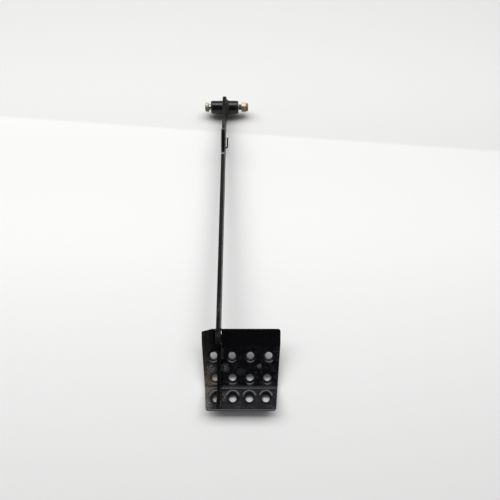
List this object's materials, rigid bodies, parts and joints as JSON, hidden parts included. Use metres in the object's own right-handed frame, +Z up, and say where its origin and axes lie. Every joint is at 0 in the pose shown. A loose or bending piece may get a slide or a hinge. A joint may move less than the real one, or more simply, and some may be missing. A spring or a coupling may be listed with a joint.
{
  "type": "brake pedal",
  "caption": "Hanging brake pedal: plate arm with a pivot tube, bushings and bolt at the top and a folded foot pad with flared grip holes at the bottom.",
  "frame": {"origin": "on the pivot axis, in the middle of the arm plate's thickness", "axes": "+X along the pivot bolt towards its nut, +Y towards the driver's foot, +Z up; the pedal hangs down from its pivot"},
  "size_m": [0.1206, 0.066, 0.5062],
  "materials": {
    "arm_paint": "worn semi-gloss black paint",
    "tube_paint": "gloss black paint",
    "pad_paint": "gloss black paint with rust stains",
    "weld_metal": "painted weld bead",
    "bushing_plastic": "black nylon",
    "sleeve_steel": "bright turned steel",
    "bolt_zinc": "zinc plate",
    "nut_zinc": "yellow zinc plate",
    "ring_plastic": "nylon"
  },
  "bodies": {
    "pivot": {"pivot_bolt": "bolt_zinc", "lock_nut": "nut_zinc", "lock_ring": "ring_plastic", "pivot_sleeve": "sleeve_steel"},
    "pedal": {"arm_plate": "arm_paint", "pivot_tube": "tube_paint", "tube_weld": "weld_metal", "spring_hook": "arm_paint", "foot_pad": "pad_paint", "pad_weld_top": "weld_metal", "pad_weld_left": "weld_metal", "pad_weld_right": "weld_metal", "pad_weld_bottom": "weld_metal", "slot_tack": "weld_metal", "slot_weld": "weld_metal", "bushing_left": "bushing_plastic", "bushing_right": "bushing_plastic"}
  },
  "joints": [
    {"name": "pedal_swing", "type": "hinge", "parent": "pivot", "child": "pedal", "pos_m": [0, 0, 0], "axis": [1, 0, 0], "range_deg": [-35, 10]}
  ]
}
